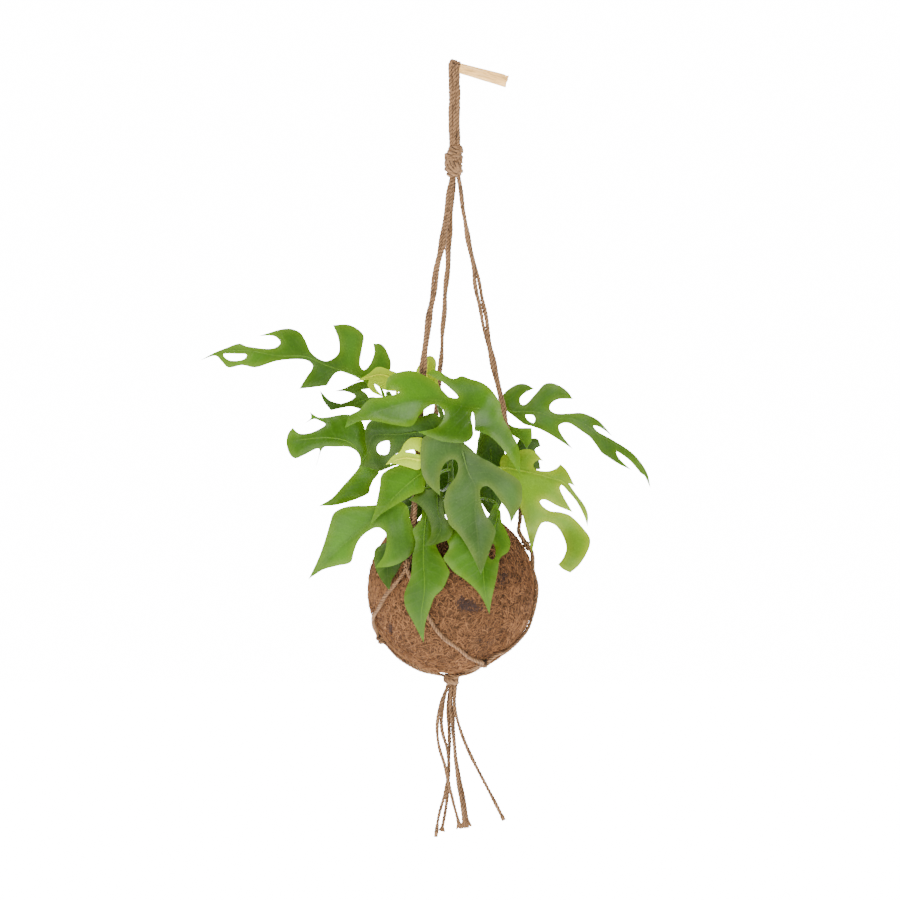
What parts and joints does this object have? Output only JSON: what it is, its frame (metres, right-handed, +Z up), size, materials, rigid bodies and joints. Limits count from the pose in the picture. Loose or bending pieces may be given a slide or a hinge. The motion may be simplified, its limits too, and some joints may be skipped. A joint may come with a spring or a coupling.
{
  "type": "hanging potted plant",
  "caption": "Mini monstera with deeply split leaves in a round coconut fibre pot, slung in a knotted jute cord hanger that loops over a short wooden peg.",
  "frame": {"origin": "middle of the wooden peg's free end, where the whole thing is held up", "axes": "+Z up, +X towards the peg's free end and the plant's right, -Y towards the viewer"},
  "size_m": [0.4032, 0.1726, 0.6999],
  "materials": {
    "jute": "dry twisted fibre",
    "pine": "raw light wood",
    "coconut_fibre": "rough matted husk",
    "soil": "crumbly potting mix",
    "stem_green": "satin green stalk",
    "leaf_green": "satin leaf",
    "leaf_blue_green": "satin leaf",
    "leaf_light_green": "satin leaf",
    "leaf_bright_green": "satin leaf",
    "leaf_young_yellow": "soft young leaf",
    "leaf_deep_green": "satin leaf in shade"
  },
  "bodies": {
    "root": {"bottom_knot": "jute", "coconut_pot": "coconut_fibre", "gather_cord_back_right": "jute", "gather_cord_front_right": "jute", "gather_cord_left": "jute", "hanging_peg": "pine", "leaf_back": "leaf_green", "leaf_back_left": "leaf_green", "leaf_back_right": "leaf_green", "leaf_bright_right": "leaf_bright_green", "leaf_broad_left": "leaf_green", "leaf_broad_top": "leaf_green", "leaf_curled_middle": "leaf_light_green", "leaf_dark_inner_right": "leaf_deep_green", "leaf_dark_low_left": "leaf_deep_green", "leaf_folded_young": "leaf_young_yellow", "leaf_front_left": "leaf_green", "leaf_holed_left": "leaf_deep_green", "leaf_large_front": "leaf_blue_green", "leaf_long_left": "leaf_green", "leaf_long_right": "leaf_green", "leaf_low_middle": "leaf_green", "leaf_low_right": "leaf_green", "leaf_new_shoot": "leaf_young_yellow", "leaf_right_small": "leaf_light_green", "leaf_rolled_new": "leaf_young_yellow", "leaf_small_back_left": "leaf_deep_green", "leaf_two_lobes_left": "leaf_green", "leg_cord_back_a": "jute", "leg_cord_back_b": "jute", "leg_cord_front_a": "jute", "leg_cord_front_b": "jute", "leg_cord_right_a": "jute", "leg_cord_right_b": "jute", "loop_cord_1": "jute", "loop_cord_2": "jute", "loop_cord_3": "jute", "lower_knot_back_right": "jute", "lower_knot_front_right": "jute", "lower_knot_left": "jute", "net_cord_back_to_back_right": "jute", "net_cord_back_to_left": "jute", "net_cord_front_to_front_right": "jute", "net_cord_front_to_left": "jute", "net_cord_right_to_back_right": "jute", "net_cord_right_to_front_right": "jute", "potting_soil": "soil", "stem_left": "stem_green", "stem_middle": "stem_green", "stem_right": "stem_green", "tail_cord_1": "jute", "tail_cord_2": "jute", "tail_cord_3": "jute", "tail_cord_4": "jute", "tail_cord_5": "jute", "tail_cord_6": "jute", "top_knot": "jute", "upper_knot_back": "jute", "upper_knot_front": "jute", "upper_knot_right": "jute"}
  },
  "joints": []
}
